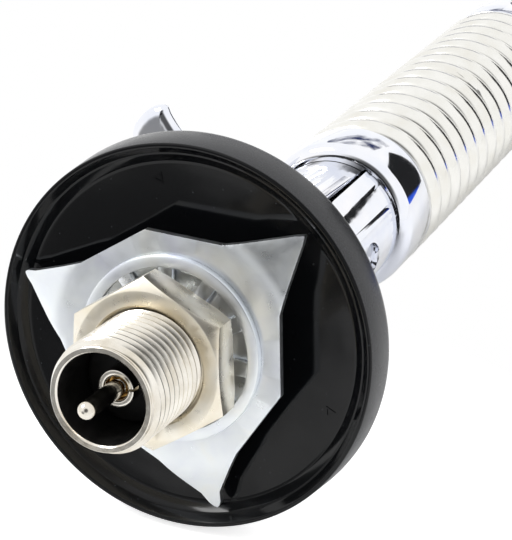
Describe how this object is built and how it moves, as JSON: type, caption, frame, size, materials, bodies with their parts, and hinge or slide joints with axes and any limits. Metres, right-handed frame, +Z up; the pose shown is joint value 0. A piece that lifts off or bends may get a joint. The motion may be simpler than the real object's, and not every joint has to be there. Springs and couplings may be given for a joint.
{
  "type": "vehicle whip antenna",
  "caption": "Vehicle whip antenna with a threaded clamp base, tilt hinge with wing bolt, coil spring and helically wound whip.",
  "frame": {"origin": "centre of the base disc's rim, on the plane that rests on the vehicle panel", "axes": "+Z up along the threaded base towards the whip, +X towards the hinge ear, the wing bolt on the -X side; the hinge leans 4.84 degrees towards -Y at rest"},
  "size_m": [0.0667, 0.0711, 0.5166],
  "materials": {
    "black_moulding": "gloss below, satin outer wall",
    "nickel_plating": "bright nickel-plated brass",
    "zinc_plating": "bright zinc-plated steel",
    "chrome_casting": "bright chrome-plated casting",
    "chrome_steel": "bright chrome",
    "spring_steel": "nickel-plated spring steel",
    "insulator_black": "matte",
    "seal_rubber": "matte",
    "steel_plain": "plain steel",
    "brass_contact": "plain brass",
    "copper_wire": "enamelled copper",
    "glass_fibre": "satin",
    "sleeve_black": "satin"
  },
  "bodies": {
    "base": {"base_disc": "black_moulding", "threaded_bushing": "nickel_plating", "flange_gasket": "seal_rubber", "neck_insulator": "insulator_black", "contact_carrier": "insulator_black", "contact_ferrule": "nickel_plating", "centre_pin": "nickel_plating", "feed_nut": "brass_contact", "feed_rod": "brass_contact", "knuckle_seal": "seal_rubber", "lower_knuckle": "chrome_casting", "friction_disc": "steel_plain"},
    "clamp_plate": {"claw_plate": "zinc_plating", "tooth_lock_washer": "zinc_plating"},
    "nut": {"mounting_nut": "nickel_plating"},
    "bolt_washers": {"flat_washer": "chrome_steel", "split_washer": "chrome_steel"},
    "wing": {"wing_bolt": "chrome_steel"},
    "hinge_head": {"upper_knuckle": "chrome_casting"},
    "spring_coil": {"spring": "spring_steel", "ground_braid": "copper_wire"},
    "whip": {"upper_cup": "chrome_casting", "set_screws": "steel_plain", "whip_ferrule": "chrome_steel", "fibreglass_rod": "glass_fibre", "wire_winding": "copper_wire", "whip_sleeve": "sleeve_black", "tip_cap": "sleeve_black"}
  },
  "joints": [
    {"name": "clamp_slide", "type": "slide", "parent": "base", "child": "clamp_plate", "axis": [0, 0, -1], "range_m": [0, 0.0121]},
    {"name": "nut_turn", "type": "hinge", "parent": "clamp_plate", "child": "nut", "pos_m": [0, 0, -0.0097], "axis": [0, 0, -1], "range_deg": [0, 2880]},
    {"name": "bolt_slide", "type": "slide", "parent": "base", "child": "bolt_washers", "axis": [-1, 0, 0], "range_m": [0, 0.0051]},
    {"name": "wing_turn", "type": "hinge", "parent": "bolt_washers", "child": "wing", "pos_m": [-0.0146, 0, 0.0526], "axis": [-1, 0, 0], "range_deg": [0, 1440]},
    {"name": "tilt", "type": "hinge", "parent": "base", "child": "hinge_head", "pos_m": [0, 0, 0.0526], "axis": [1, 0, 0], "range_deg": [-94.8, 0]},
    {"name": "spring_bend", "type": "hinge", "parent": "hinge_head", "child": "spring_coil", "pos_m": [0, -0.00384, 0.09794], "axis": [1, 0, 0], "range_deg": [-35, 35], "stiffness_Nm_per_rad": 4, "deforming": ["spring", "ground_braid"]},
    {"name": "whip_bend", "type": "hinge", "parent": "spring_coil", "child": "whip", "pos_m": [0, -0.00743, 0.14039], "axis": [0, 0.9964, 0.0844], "range_deg": [-35, 35], "stiffness_Nm_per_rad": 4, "deforming": ["spring", "ground_braid"]}
  ],
  "couplings": [
    {"joint": "clamp_slide", "follows": "nut_turn", "m_per_rad": 0.00023873},
    {"joint": "bolt_slide", "follows": "wing_turn", "m_per_rad": 0.00019894}
  ]
}
